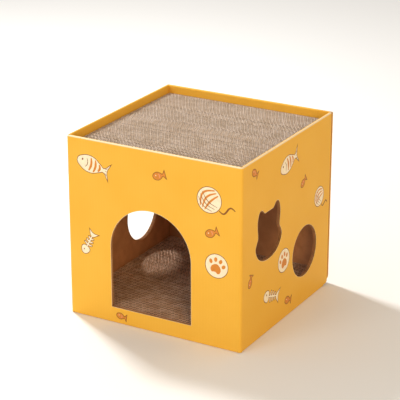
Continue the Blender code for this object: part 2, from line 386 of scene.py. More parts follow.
def printed_liner():
    """White-topped liner, litho printed and sealed: even colour, satin, with the flutes just telling.

    The outer edge of the rim is rubbed, so that the pale liner shows through the ink there.
    """
    material, tree, shader, place = new_material("printed_liner", *SEALED_PRINT)
    shader.inputs["Specular IOR Level"].default_value = PRINT_SPECULAR
    drift = add(tree, "ShaderNodeTexNoise", {"Vector": place, "Scale": 1 / INK_DRIFT, "Detail": 2.0})
    ink = add(tree, "ShaderNodeMix", {0: drift, 6: srgb("#E9AF3C"), 7: srgb("#EFBA4B")},
              data_type="RGBA").outputs[2]
    ridges = flute_ridges(tree, place)
    crests = add(tree, "ShaderNodeMapRange", {"Value": ridges, "From Min": -1.0, "From Max": 1.0},
                 interpolation_type="SMOOTHSTEP")
    shade = add(tree, "ShaderNodeMath", {0: crests, 1: FLUTE_SHADE}, operation="MULTIPLY")
    ink = add(tree, "ShaderNodeMix", {0: shade, 6: ink, 7: srgb("#D89A28")}, data_type="RGBA").outputs[2]
    x, y, z = add(tree, "ShaderNodeSeparateXYZ", {0: place}).outputs
    from_x = add(tree, "ShaderNodeMath", {0: x}, operation="ABSOLUTE")
    from_y = add(tree, "ShaderNodeMath", {0: y}, operation="ABSOLUTE")
    across = add(tree, "ShaderNodeMath", {0: from_x, 1: from_y}, operation="MAXIMUM")
    outer = add(tree, "ShaderNodeMapRange", {
        "Value": across, "From Min": HALF_WIDTH - RUB_IN[0], "From Max": HALF_WIDTH - RUB_IN[1]},
        interpolation_type="SMOOTHSTEP")
    top = add(tree, "ShaderNodeMapRange", {
        "Value": z, "From Min": HEIGHT - RUB_DOWN[0], "From Max": HEIGHT - RUB_DOWN[1]},
        interpolation_type="SMOOTHSTEP")
    specks = add(tree, "ShaderNodeTexNoise", {"Vector": place, "Scale": 1 / RUB_FRAY, "Detail": 2.0})
    fray = add(tree, "ShaderNodeMapRange", {"Value": specks, "From Min": 0.18, "From Max": 0.42},
               interpolation_type="SMOOTHSTEP")
    edge = add(tree, "ShaderNodeMath", {0: outer, 1: top}, operation="MULTIPLY")
    worn = add(tree, "ShaderNodeMath", {0: edge, 1: fray}, operation="MULTIPLY")
    bare = add(tree, "ShaderNodeMath", {0: worn, 1: RUB_BARE}, operation="MULTIPLY")
    colour = add(tree, "ShaderNodeMix", {0: bare, 6: ink, 7: srgb("#FBE9C6")},
                 data_type="RGBA").outputs[2]
    tree.links.new(colour, shader.inputs["Base Color"])
    fibre = add(tree, "ShaderNodeTexNoise", {"Vector": place, "Scale": 1 / LINER_FIBRE, "Detail": 2.0})
    emboss(tree, shader, ridges, fibre, flute_rise=0.03, fibre_rise=0.06)
    return material


def kraft_paper(name, light, dark):
    """Unbleached kraft: matte brown paper with cloudy tone, short dark fibres and the flutes telling."""
    material, tree, shader, place = new_material(name, *RAW_KRAFT)
    cloud = clouds(tree, place, KRAFT_CLOUDS, 4.0)
    base = add(tree, "ShaderNodeMix", {0: cloud, 6: srgb(light), 7: srgb(dark)},
               data_type="RGBA").outputs[2]
    upright = add(tree, "ShaderNodeMapping", {"Vector": place, "Scale": (1, 1, 0.3)})
    specks = add(tree, "ShaderNodeTexNoise", {"Vector": upright, "Scale": 1 / KRAFT_FIBRE, "Detail": 3.0})
    fibre = add(tree, "ShaderNodeMapRange", {"Value": specks, "From Min": 0.60, "From Max": 0.72},
                interpolation_type="SMOOTHSTEP")
    dark_fibre = add(tree, "ShaderNodeMath", {0: fibre, 1: 0.35}, operation="MULTIPLY")
    colour = add(tree, "ShaderNodeMix", {0: dark_fibre, 6: base, 7: srgb("#5E4026")},
                 data_type="RGBA").outputs[2]
    tree.links.new(colour, shader.inputs["Base Color"])
    emboss(tree, shader, flute_ridges(tree, place), fibre, flute_rise=0.06, fibre_rise=0.05)
    return material


def pad_paper_with_cell_shade(node, edges, shaded_insides):
    """Pale, fuzzy cut edges of recycled paper on top and round the sides; painted shade inside the cells.
    """
    material, tree, shader, place = new_material(node + "_paper", *CUT_PAPER)
    low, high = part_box(node)
    x, y, height = add(tree, "ShaderNodeSeparateXYZ", {0: place}).outputs
    from_x = add(tree, "ShaderNodeMath", {0: x}, operation="ABSOLUTE")
    from_y = add(tree, "ShaderNodeMath", {0: y}, operation="ABSOLUTE")
    past_x = add(tree, "ShaderNodeMath", {0: from_x, 1: high.x}, operation="SUBTRACT")
    past_y = add(tree, "ShaderNodeMath", {0: from_y, 1: high.y}, operation="SUBTRACT")
    past_base = add(tree, "ShaderNodeMath", {0: low.z, 1: height}, operation="SUBTRACT")
    past_sides = add(tree, "ShaderNodeMath", {0: past_x, 1: past_y}, operation="MAXIMUM")
    past = add(tree, "ShaderNodeMath", {0: past_sides, 1: past_base}, operation="MAXIMUM")
    outside = add(tree, "ShaderNodeMapRange", {
        "Value": past, "From Min": -PALE_SIDE[0], "From Max": -PALE_SIDE[1]},
        interpolation_type="SMOOTHSTEP")
    side = add(tree, "ShaderNodeMath", {0: outside, 1: PALE_SIDE_SHARE}, operation="MULTIPLY")
    ply_top = high.z - PLY_UNEVEN
    top = add(tree, "ShaderNodeMapRange", {
        "Value": height, "From Min": ply_top - PALE_TOP[0], "From Max": ply_top - PALE_TOP[1]},
        interpolation_type="SMOOTHSTEP")
    # Painted shade: away from the pale top and sides, the cell walls take the darker inside colours
    pale = add(tree, "ShaderNodeMath", {0: side, 1: top}, operation="MAXIMUM")
    cloud = clouds(tree, place, PAD_CLOUDS, 4.0)
    edge, inside = (add(tree, "ShaderNodeMix", {0: cloud, 6: srgb(light), 7: srgb(dark)},
                        data_type="RGBA").outputs[2] for light, dark in (edges, shaded_insides))
    base = add(tree, "ShaderNodeMix", {0: pale, 6: inside, 7: edge}, data_type="RGBA").outputs[2]
    fibre = add(tree, "ShaderNodeTexNoise", {"Vector": place, "Scale": 1 / PAD_FIBRE, "Detail": 3.0})
    specks = add(tree, "ShaderNodeMapRange", {"Value": fibre, "From Min": 0.55, "From Max": 0.7},
                 interpolation_type="SMOOTHSTEP")
    dark_specks = add(tree, "ShaderNodeMath", {0: specks, 1: 0.3}, operation="MULTIPLY")
    colour = add(tree, "ShaderNodeMix", {0: dark_specks, 6: base, 7: srgb("#6E4E33")},
                 data_type="RGBA").outputs[2]
    tree.links.new(colour, shader.inputs["Base Color"])
    bump = add(tree, "ShaderNodeBump", {"Height": fibre, "Distance": 0.3 * MM, "Strength": 0.5})
    tree.links.new(bump.outputs[0], shader.inputs["Normal"])
    return material


def flat_ink(name, code):
    """Litho ink under the same sealing coat as the liner, with the flutes telling through it."""
    material, tree, shader, place = new_material(name, *SEALED_PRINT)
    shader.inputs["Specular IOR Level"].default_value = PRINT_SPECULAR
    red, green, blue = (channel * 0.90 for channel in srgb(code)[:3])
    mottle = clouds(tree, place, INK_MOTTLE, 3.0)
    ink = add(tree, "ShaderNodeMix", {0: mottle, 6: srgb(code), 7: (red, green, blue, 1)},
              data_type="RGBA").outputs[2]
    tree.links.new(ink, shader.inputs["Base Color"])
    fibre = add(tree, "ShaderNodeTexNoise", {"Vector": place, "Scale": 1 / LINER_FIBRE, "Detail": 2.0})
    emboss(tree, shader, flute_ridges(tree, place), fibre, flute_rise=0.05, fibre_rise=0.06)
    return material


PRINTED = printed_liner()
KRAFT = kraft_paper("kraft_liner", "#CD8D5D", "#BC7F50")
FLUTING = kraft_paper("fluting_paper", "#B08359", "#9C7048")
# Both pads are the same paper: the bottom pad's redder, darker colours are painted shade of the house's
# inside
PAD_PAPERS = {
    "top_pad": pad_paper_with_cell_shade("top_pad", ("#ECDACA", "#D8C2AC"), ("#543828", "#442E20")),
    "bottom_pad": pad_paper_with_cell_shade("bottom_pad", ("#EBC2A2", "#D2A380"), ("#46261A", "#382014")),
}
BOARD_FINISHES = [PRINTED, KRAFT, FLUTING]
PRINTED_FACE, KRAFT_FACE, FLUTE_FACE = 0, 1, 2
INKS = [flat_ink("brown_ink", "#8A5430"), flat_ink("cream_ink", "#FBEBCB"),
        flat_ink("orange_ink", "#D98B3C"), flat_ink("rose_ink", "#E8A07C")]
BROWN, CREAM, ORANGE, ROSE = range(len(INKS))


# Board


def fluting_tree():
    """A wavy sheet: it runs along x, waves in z about zero, and its flutes lie along y."""
    tree = new_tree("fluting", Float=["Length", "Breadth", "Wave height", "Pitch"], Int=["Columns"])
    given = add(tree, "NodeGroupInput").outputs
    grid = add(tree, "GeometryNodeMeshGrid", {
        "Size X": given["Length"], "Size Y": given["Breadth"],
        "Vertices X": given["Columns"], "Vertices Y": 2})
    position = add(tree, "GeometryNodeInputPosition")
    x = add(tree, "ShaderNodeSeparateXYZ", {0: position}).outputs[0]
    turns = add(tree, "ShaderNodeMath", {0: x, 1: given["Pitch"]}, operation="DIVIDE")
    angle = add(tree, "ShaderNodeMath", {0: turns, 1: 2 * math.pi}, operation="MULTIPLY")
    wave = add(tree, "ShaderNodeMath", {0: angle}, operation="SINE")
    rise = add(tree, "ShaderNodeMath", {0: wave, 1: given["Wave height"]}, operation="MULTIPLY")
    offset = add(tree, "ShaderNodeCombineXYZ", {2: rise})
    waved = add(tree, "GeometryNodeSetPosition", {"Geometry": grid, "Offset": offset})
    real = add(tree, "GeometryNodeRealizeInstances", {0: waved})
    finish = add(tree, "GeometryNodeSetMaterial", {"Geometry": real, "Material": FLUTING})
    add(tree, "NodeGroupOutput", {0: finish})
    return tree


FLUTING_TREE = fluting_tree()


def fluted_sheet(left, bottom, right, top, low, high):
    """The wavy sheet between two liners, over this rectangle."""
    length, breadth = right - left, top - bottom
    columns = int(round(length / FLUTE_PITCH * FLUTE_STEPS)) + 1
    wave = (high - low - FLUTE_PAPER) / 2
    mesh = grown(FLUTING_TREE, {
        "Length": length, "Breadth": breadth, "Wave height": wave,
        "Pitch": FLUTE_PITCH, "Columns": columns})
    obj = new_object("sheet", mesh)
    thick = obj.modifiers.new("paper", "SOLIDIFY")
    thick.thickness = FLUTE_PAPER
    thick.offset = 0
    mesh = baked(obj)
    centre = ((left + right) / 2, (bottom + top) / 2, (low + high) / 2)
    mesh.transform(Matrix.Translation(centre))
    return mesh


def board(outline, holes, low, high, faces):
    """Single-wall board cut to an outline: a liner, the fluting and a liner, from low to high."""
    flat = [place[0] if isinstance(place[1], str) else place for place in outline]
    xs, ys = [x for x, y in flat], [y for x, y in flat]
    under = with_material(plate([outline, *holes], low, low + LINER), faces[0])
    over = with_material(plate([outline, *holes], high - LINER, high), faces[1])
    sheet = fluted_sheet(min(xs) - MM, min(ys) - MM, max(xs) + MM, max(ys) + MM,
                         low + LINER, high - LINER)
    stamp = plate([outline, *holes], low - MM, high + MM)
    fluting = with_material(cut(sheet, stamp, "INTERSECT"), FLUTE_FACE)
    return [under, fluting, over]


ALONG_WALL = Matrix(((1, 0, 0, 0), (0, 0, 1, 0), (0, 1, 0, 0), (0, 0, 0, 1)))


def stood_up(meshes):
    """Panels drawn flat, x along and y up, stood up as a wall with its thickness along y."""
    for mesh in meshes:
        mesh.transform(ALONG_WALL)
        mesh.flip_normals()
    return meshes


class Side:
    """A side of the house in its own frame, where its lining runs and which end is clipped."""

    def __init__(self, name, turns, corner, length, clipped=None):
        turn = Matrix.Rotation(turns * QUARTER, 4, "Z")
        self.name = name
        self.place = Matrix.Translation((*corner, 0)) @ turn
        self.length = length
        self.clipped = clipped
        inner = [self.place.inverted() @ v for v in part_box(name + "_support")]
        self.inner_from, self.inner_to = sorted(v.x for v in inner)

    def end_from(self):
        """Where the flat of the wall starts: past the crease, or at a cut end."""
        return 0.0 if self.clipped == "first" else CREASE_RADIUS

    def end_to(self):
        return self.length - (FLAP_CREASE_RADIUS if self.clipped == "last" else CREASE_RADIUS)


FRONT = Side("front", 0, (-HALF_WIDTH, -HALF_DEPTH), 2 * HALF_WIDTH)
RIGHT = Side("right", 1, (HALF_WIDTH, -HALF_DEPTH), RIGHT_LENGTH, "last")
BACK = Side("back", 2, (HALF_WIDTH, HALF_DEPTH), 2 * HALF_WIDTH, "first")
LEFT = Side("left", 3, (-HALF_WIDTH, HALF_DEPTH), 2 * HALF_DEPTH)
SIDES = {
    FRONT: [doorway()],
    RIGHT: [cat_head(), circle(RIGHT_HOLE_CENTRE, RIGHT_HOLE_RADIUS)],
    BACK: [],
    LEFT: [circle(LEFT_HOLE_CENTRE, LEFT_HOLE_RADIUS)],
}


def lower_corner(side, end, inset, x, z):
    radius = CLIPPED_CORNER - inset
    if end != side.clipped or radius <= 0:
        return [(x, z)]
    if end == "first":
        return arc((x + radius, z + radius), radius, 180, 270, ARC_STEPS)
    return arc((x - radius, z + radius), radius, 270, 360, ARC_STEPS)


def panel(side, left, right, low, high):
    first = lower_corner(side, "first", left, left, low)
    last = lower_corner(side, "last", side.length - right, right, low)
    return [(right, high), (left, high), *first, *last]


def finished(name, meshes, place, finishes, body, replaces=()):
    """Makes a piece of joined meshes, in its place, on its body."""
    mesh = joined(meshes)
    mesh.transform(place)
    mesh.name = name
    for finish in finishes:
        mesh.materials.append(finish)
    obj = new_object(name, mesh)
    if body:
        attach(obj, body)
    if replaces:
        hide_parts(*replaces)
    return obj


def rolled_liner(outside, inside, thickness, low, edge):
    """The printed liner: up the outside, over the rim and down the inside to an edge.

    outside and inside are the stretches of the wall that it covers before and after the rim.
    """
    radius = thickness / 2
    rim = arc((radius, HEIGHT - radius), radius, 180, 0, 2 * ARC_STEPS)
    shape = bmesh.new()
    rows = []
    for y, z in [(0, low), *rim, (thickness, edge)]:
        ends = outside if y < radius else inside
        rows.append([shape.verts.new((x, y, z)) for x in ends])
    for (a, b), (c, d) in zip(rows, rows[1:]):
        shape.faces.new((a, b, d, c))
    mesh = bpy.data.meshes.new("liner")
    shape.to_mesh(mesh)
    shape.free()
    obj = new_object("liner", mesh)
    thick = obj.modifiers.new("paper", "SOLIDIFY")
    thick.thickness = LINER
    thick.offset = -1
    thick.use_even_offset = True
    return with_material(tidied(baked(obj)), PRINTED_FACE)


def turned_edge():
    """The printed liner turned in over the cut end of a wall."""
    outline = rectangle(-TURNED_STEP, CLIPPED_CORNER, LINER, HEIGHT - RIM / 2)
    return with_material(stood_up([plate([outline], TURNED_STEP, BOARD - TURNED_STEP)])[0], PRINTED_FACE)


def make_wall(side, holes):
    """A wall and its glued lip: the liner wraps both, each with its own fluting and inner liner."""
    ends, inner_ends = (side.end_from(), side.end_to()), (side.inner_from, side.inner_to)
    flat = panel(side, *ends, BOTTOM_CREASE_RADIUS, HEIGHT - RIM / 2)
    stamp = panel(side, 0, side.length, 0, HEIGHT + PAST)
    cutter = stood_up([plate([stamp, *holes], -PAST, RIM + PAST)])[0]
    liner = rolled_liner(ends, inner_ends, RIM, BOTTOM_CREASE_RADIUS, LIP_EDGE)
    outer = [cut(liner, cutter, "INTERSECT")]
    if side.clipped == "first":
        outer.append(turned_edge())
    wall = board(flat, holes, 0, BOARD, (PRINTED_FACE, KRAFT_FACE))[1:]
    lip = rectangle(side.inner_from, LIP_EDGE, side.inner_to, HEIGHT - RIM / 2)
    lip = board(lip, [], RIM - BOARD, RIM, (KRAFT_FACE, PRINTED_FACE))[:-1]
    name = side.name
    finished(name + "_wall_board", [*outer, *stood_up(wall), *stood_up(lip)], side.place,
             BOARD_FINISHES, name, (name + "_wall", name + "_lip"))


def make_support(side, holes):
    outline = panel(side, side.inner_from, side.inner_to, SUPPORT_LOW, SUPPORT_HIGH)
    meshes = board(outline, holes, SUPPORT_OUTER, SUPPORT_INNER, (KRAFT_FACE, KRAFT_FACE))
    finished(side.name + "_support_board", stood_up(meshes), side.place,
             BOARD_FINISHES, side.name, (side.name + "_support",))


def make_closing_flap():
    """The flap at the end of the right wall, printed on the outside and where it shows at the rim."""
    ends = (FLAP_CREASE_RADIUS, HALF_WIDTH - FLAP_LOW.x)
    core = rectangle(ends[0], FLAP_LOW.z, ends[1], HEIGHT - BOARD / 2)
    fluting = board(core, [], 0, BOARD, (PRINTED_FACE, KRAFT_FACE))[1]
    inner = plate([rectangle(ends[0], FLAP_LOW.z, ends[1], LIP_EDGE)], BOARD - LINER, BOARD)
    liner = rolled_liner(ends, ends, BOARD, FLAP_LOW.z, LIP_EDGE)
    place = Matrix.Translation((HALF_WIDTH, FLAP_HIGH.y, 0)) @ Matrix.Rotation(2 * QUARTER, 4, "Z")
    meshes = [liner, *stood_up([fluting, with_material(inner, KRAFT_FACE)])]
    finished("closing_flap_board", meshes, place,
             BOARD_FINISHES, "flap", ("closing_flap",))


def make_shelf():
    """The kraft board under the top pad, its corner cut off to clear the closing flap."""
    low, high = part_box("shelf_board")
    reach = FLAP_LOW.x + FLAP_LOW.y - 2 * SHELF_CLEARANCE
    outline = [(low.x, low.y), (high.x, low.y), (high.x, reach - high.x), (reach - high.y, high.y),
               (low.x, high.y)]
    meshes = board(outline, [], low.z, high.z, (KRAFT_FACE, KRAFT_FACE))
    finished("shelf_kraft_board", meshes, Matrix.Identity(4),
             BOARD_FINISHES, "front", ("shelf_board",))


def mitred_end(inset, near):
    far = BOTTOM_FLAP_DEPTH
    line = max(inset, near + FLAP_CLEARANCE)
    return [(far + FLAP_CLEARANCE, far), (line, line - FLAP_CLEARANCE), (line, near)]


def flap_ends(side):
    """How far in from each end of the wall its bottom flap starts."""
    clipped = CLIPPED_CORNER + FLAP_CLEARANCE
    return [clipped if side.clipped == end else FLAP_CLEARANCE for end in ("first", "last")]


def make_bottom_flap(side):
    """A turned-in flap that the house stands on, mitred against its neighbours."""
    near = BOTTOM_CREASE_RADIUS
    first, last = (mitred_end(inset, near) for inset in flap_ends(side))
    outline = [*first, *[(side.length - x, y) for x, y in reversed(last)]]
    meshes = board(outline, [], 0, BOARD, (KRAFT_FACE, KRAFT_FACE))
    name = side.name + "_bottom_flap"
    finished(name + "_board", meshes, side.place,
             BOARD_FINISHES, side.name + "_foot", (name,))


# Creases: the board bends round each corner in one piece


def lofted(rings, finish_of_edge):
    """A closed mesh through rings of points; each edge round the ring has its own finish."""
    shape = bmesh.new()
    rows = [[shape.verts.new(point) for point in ring] for ring in rings]
    count = len(rings[0])
    for row, following in zip(rows, rows[1:]):
        for i in range(count):
            j = (i + 1) % count
            face = shape.faces.new((row[i], row[j], following[j], following[i]))
            face.material_index = finish_of_edge(i)
    for row in (rows[0], rows[-1]):
        shape.faces.new(row).material_index = FLUTE_FACE
    bmesh.ops.recalc_face_normals(shape, faces=shape.faces)
    mesh = bpy.data.meshes.new("loft")
    shape.to_mesh(mesh)
    shape.free()
    for finish in BOARD_FINISHES:
        mesh.materials.append(finish)
    return mesh


def bent(radius, inset, angle):
    """A point of the bent board, this far in from its outer face."""
    a = math.radians(angle)
    return radius - (radius - inset) * math.cos(a), radius - (radius - inset) * math.sin(a)


def make_corner(name, place, low, radius=CREASE_RADIUS, stamp=None):
    """An upright crease, with the start of the rim's roll along its top.

    place is the corner's own frame: x along the parent wall, y along the child's, z up.
    """
    roll = RIM / 2
    past_rim = math.degrees(math.acos(1 - BOARD / roll))
    top = arc((roll, HEIGHT - roll), roll, 180, 180 - past_rim, ARC_STEPS)
    profile = [(0, low), *top, (BOARD, low)]
    rings = []
    for step in range(ARC_STEPS + 1):
        angle = 90 - 90 * step / ARC_STEPS
        rings.append([(*bent(radius, inset, angle), z) for inset, z in profile])
    inner = len(profile) - 2
    mesh = lofted(rings, lambda i: PRINTED_FACE if i < inner else KRAFT_FACE)
    mesh.transform(place)
    if stamp:
        mesh = cut(mesh, stamp, "INTERSECT")
    obj = finished(name, [mesh], Matrix.Identity(4), BOARD_FINISHES, None)
    bend_across(obj)


def bend_across(obj):
    """Bakes the crease's place into its mesh."""
    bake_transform(obj)


def make_bottom_crease(side):
    """The crease between a wall and its bottom flap, clear of the support boards at both ends."""
    radius = BOTTOM_CREASE_RADIUS
    inset, end_inset = (max(SUPPORT_INNER + CREASE_CLEARANCE, end) for end in flap_ends(side))
    steps = range(ARC_STEPS + 1)
    outer = [bent(radius, 0, 90 * i / ARC_STEPS) for i in steps]
    inner = [bent(radius, BOARD, 90 - 90 * i / ARC_STEPS) for i in steps]
    rings = [[(x, y, z) for y, z in [*outer, *inner]] for x in (inset, side.length - end_inset)]
    mesh = lofted(rings, lambda i: PRINTED_FACE if i < ARC_STEPS else KRAFT_FACE)
    name = side.name + "_bottom_crease"
    obj = finished(name, [mesh], side.place, BOARD_FINISHES, None)
    bend_across(obj)


def corner_place(x, y, along_parent, along_child):
    columns = [Vector(along_parent), Vector(along_child), Vector((0, 0, 1)), Vector((x, y, 0))]
    matrix = Matrix.Identity(4)
    for c, column in enumerate(columns):
        for r in range(3):
            matrix[r][c] = column[r]
    return matrix


def make_corners():
    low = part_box("front_wall")[0].z
    x, y = HALF_WIDTH, HALF_DEPTH
    make_corner("front_right_crease", corner_place(x, -y, (-1, 0, 0), (0, 1, 0)), low)
    make_corner("front_left_crease", corner_place(-x, -y, (1, 0, 0), (0, 1, 0)), low)
    make_corner("back_left_crease", corner_place(-x, y, (0, -1, 0), (1, 0, 0)), low)
    stamp = stood_up([plate([panel(RIGHT, 0, RIGHT.length, 0, HEIGHT + PAST)], -PAST, 4 * PAST)])[0]
    stamp.transform(RIGHT.place)
    make_corner("closing_flap_crease", corner_place(x, FLAP_HIGH.y, (0, -1, 0), (-1, 0, 0)),
                0, FLAP_CREASE_RADIUS, stamp)


# Scratching pads


def plies_tree():
    """Sheets standing on edge side by side, waved out of step and a hair up or down.

    Each sheet's wave starts half a wave after the last one's, with a slow drift, so that the open
    cells line up in slanting rows that wander over the pad.
    """
    tree = new_tree("plies", Float=["Length", "Height", "Pitch", "Wave", "Wave height", "Uneven"],
                    Int=["Count", "First", "Columns", "Seed"], Material=["Material"])
    given = add(tree, "NodeGroupInput").outputs
    grid = add(tree, "GeometryNodeMeshGrid", {
        "Size X": given["Length"], "Size Y": given["Height"],
        "Vertices X": given["Columns"], "Vertices Y": 2})
    sheet = add(tree, "GeometryNodeTransform", {"Geometry": grid, "Rotation": (QUARTER, 0, 0)})
    offset = add(tree, "ShaderNodeCombineXYZ", {1: given["Pitch"]})
    line = add(tree, "GeometryNodeMeshLine", {"Count": given["Count"], "Offset": offset})
    index = add(tree, "GeometryNodeInputIndex")
    number = add(tree, "ShaderNodeMath", {0: index, 1: given["First"]}, operation="ADD")
    placed = add(tree, "GeometryNodeInstanceOnPoints", {"Points": line, "Instance": sheet})
    kept = add(tree, "GeometryNodeStoreNamedAttribute", {
        "Geometry": placed, "Name": "ply", "Value": number}, data_type="FLOAT", domain="INSTANCE")
    real = add(tree, "GeometryNodeRealizeInstances", {0: kept})
    ply = add(tree, "GeometryNodeInputNamedAttribute", {"Name": "ply"}, data_type="FLOAT")
    position = add(tree, "GeometryNodeInputPosition")
    x = add(tree, "ShaderNodeSeparateXYZ", {0: position}).outputs[0]
    along = add(tree, "ShaderNodeMath", {0: x, 1: PLY_DRIFT_ALONG}, operation="MULTIPLY")
    spot = add(tree, "ShaderNodeCombineXYZ", {0: along, 1: ply, 2: given["Seed"]})
    drift = add(tree, "ShaderNodeTexNoise", {"Vector": spot, "Scale": PLY_DRIFT})
    waves = add(tree, "ShaderNodeMath", {0: x, 1: given["Wave"]}, operation="DIVIDE")
    half_turns = add(tree, "ShaderNodeMath", {0: ply, 1: 0.5}, operation="MULTIPLY")
    turns = add(tree, "ShaderNodeMath", {0: waves, 1: half_turns}, operation="ADD")
    turns = add(tree, "ShaderNodeMath", {0: drift, 1: PLY_DRIFT_TURNS, 2: turns},
                operation="MULTIPLY_ADD")
    angle = add(tree, "ShaderNodeMath", {0: turns, 1: 2 * math.pi}, operation="MULTIPLY")
    wave = add(tree, "ShaderNodeMath", {0: angle}, operation="SINE")
    side_step = add(tree, "ShaderNodeMath", {0: wave, 1: given["Wave height"]}, operation="MULTIPLY")
    random = add(tree, "FunctionNodeRandomValue", {"ID": ply, "Seed": given["Seed"]}).outputs[1]
    centred = add(tree, "ShaderNodeMath", {0: random, 1: 0.5}, operation="SUBTRACT")
    rise = add(tree, "ShaderNodeMath", {0: centred, 1: given["Uneven"]}, operation="MULTIPLY")
    move = add(tree, "ShaderNodeCombineXYZ", {1: side_step, 2: rise})
    waved = add(tree, "GeometryNodeSetPosition", {"Geometry": real, "Offset": move})
    gone = add(tree, "GeometryNodeRemoveAttribute", {"Geometry": waved, "Name": "ply"})
    finish = add(tree, "GeometryNodeSetMaterial", {"Geometry": gone, "Material": given["Material"]})
    add(tree, "NodeGroupOutput", {0: finish})
    return tree


PLIES_TREE = plies_tree()


def standing_sheets(sizes, paper, place):
    obj = new_object("sheets", grown(PLIES_TREE, sizes))
    thick = obj.modifiers.new("paper", "SOLIDIFY")
    thick.thickness = paper
    thick.offset = 0
    mesh = baked(obj)
    mesh.transform(Matrix.Translation(place))
    return mesh


def make_pad(node, body):
    """A pad in two halves: strips of fluting between liners, cut square and standing on edge."""
    low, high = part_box(node)
    length, depth, height = high - low
    plies = int(depth / PLY_PITCH)
    pitch = (depth - PLY_LINER) / plies
    middle = (low + high) / 2
    near = plies // 2
    for half, first, last in (("front", 0, near), ("back", near, plies)):
        paper = PAD_PAPERS[node]
        common = {"Length": length, "Height": height - PLY_UNEVEN, "Pitch": pitch, "Uneven": PLY_UNEVEN,
                  "First": first, "Seed": len(node), "Material": paper}
        start = low.y + PLY_LINER / 2 + pitch * first
        waves = int(length / PLY_WAVE)
        waved = standing_sheets({**common, "Count": last - first, "Wave": PLY_WAVE,
                                 "Wave height": (pitch - PLY_LINER - PLY_PAPER) / 2,
                                 "Columns": waves * PLY_WAVE_STEPS + 1},
                                PLY_PAPER, (middle.x, start + pitch / 2, middle.z))
        skipped = 0 if half == "front" else 1
        flat = standing_sheets({**common, "Count": last - first + 1 - skipped, "Wave": LINER_WAVE,
                                "Wave height": LINER_SWING, "Columns": LINER_COLUMNS},
                               PLY_LINER, (middle.x, start + pitch * skipped, middle.z))
        finished(f"{node}_{half}_plies", [waved, flat], Matrix.Identity(4), [paper],
                 body, (node,))


# Print: fish, paw prints, balls of yarn, fish bones and biscuits, scattered over the walls


def oval(x, z, across, up, turn=0, steps=28):
    """An oval outline, turned by an angle in degrees."""
    cos, sin = math.cos(math.radians(turn)), math.sin(math.radians(turn))
    points = [(across / 2 * a, up / 2 * b) for a, b in circle((0, 0), 1, steps)]
    return [(x + a * cos - b * sin, z + a * sin + b * cos) for a, b in points]


def stroke(path, width):
    """A brush line along a path, narrowing at both ends."""
    last = len(path) - 1
    sides = [[], []]
    for i, (x, z) in enumerate(path):
        before, after = path[max(i - 1, 0)], path[min(i + 1, last)]
        dx, dz = after[0] - before[0], after[1] - before[1]
        size = math.hypot(dx, dz)
        half = width / 2 * (BRUSH_TIP + (1 - BRUSH_TIP) * math.sin(math.pi * i / last))
        for side, sign in zip(sides, (1, -1)):
            side.append((x - sign * dz / size * half, z + sign * dx / size * half))
    return [*sides[0], *reversed(sides[1])]


def bow(start, end, rise, steps=10):
    """Points from start to end on a bow that rises to its left."""
    (x0, z0), (x1, z1) = start, end
    size = math.hypot(x1 - x0, z1 - z0)
    across = ((z0 - z1) / size, (x1 - x0) / size)
    points = []
    for i in range(steps + 1):
        t = i / steps
        lift = rise * math.sin(math.pi * t)
        points.append((x0 + (x1 - x0) * t + across[0] * lift, z0 + (z1 - z0) * t + across[1] * lift))
    return points


def smooth(points, sharp=()):
    """Anchors of a closed curve, smooth but for the sharp ones."""
    return [(point, "VECTOR" if i in sharp else "AUTO") for i, point in enumerate(points)]


def fish():
    """An 80 mm fish with banded flanks, nose to the left."""
    body = smooth([(-40, 0), (-27, 14), (-4, 18), (18, 8), (26, 4), (40, 17), (35, 0), (40, -17),
                   (26, -4), (18, -8), (-4, -18), (-27, -14)], sharp=(5, 7))
    shapes = [(BROWN, body, INK_LINE), (CREAM, body, 0)]
    for x, half in ((-8, 14.5), (3, 14), (14, 8)):
        shapes.append((ORANGE, stroke(bow((x, half), (x, -half), 3), 5.5), 0))
    shapes.append((BROWN, stroke(bow((-18, 10), (-18, -10), 4), 1.6), 0))
    shapes.append((BROWN, oval(-28, 4, 4.2, 4.8), 0))
    for z in (6, 0, -6):
        shapes.append((BROWN, stroke([(30, z * 0.7), (33, z), (36, z * 1.5)], 1.2), 0))
    return shapes


def paw_print():
    """A 52 mm round patch with a paw print on it."""
    disc = oval(0, 0, 52, 52, steps=48)
    shapes = [(BROWN, disc, INK_LINE), (CREAM, disc, 0)]
    pad = smooth([(-12, -8), (-8, -16), (0, -14), (8, -16), (12, -8), (7, 1), (0, 4), (-7, 1)])
    shapes.append((ORANGE, pad, 0))
    for x, z, turn in ((-15.5, 5, 28), (-6, 13, 8), (6, 13, -8), (15.5, 5, -28)):
        shapes.append((ORANGE, oval(x, z, 7.5, 10.5, turn), 0))
    return shapes


def yarn_ball():
    """A 50 mm ball of yarn with a loose end."""
    ball = oval(0, 0, 50, 50, steps=48)
    end = [(18 + 34 * t, -20 - 6 * math.sin(2 * math.pi * t)) for t in [i / 20 for i in range(21)]]
    shapes = [(BROWN, stroke(end, 3.4), 0), (BROWN, ball, INK_LINE), (CREAM, ball, 0)]
    for i, rise in enumerate((13, 8, 3)):
        strand = bow((-20 + 4 * i, -10 - 4 * i), (14 + 3 * i, 18 - 5 * i), rise)
        shapes.append((ORANGE, stroke(strand, 4.0), 0))
    for i in range(3):
        strand = bow((-22 + 5 * i, 7 + 5 * i), (3 + 6 * i, -22 + 4 * i), -6)
        shapes.append((BROWN, stroke(strand, 1.4), 0))
    return shapes


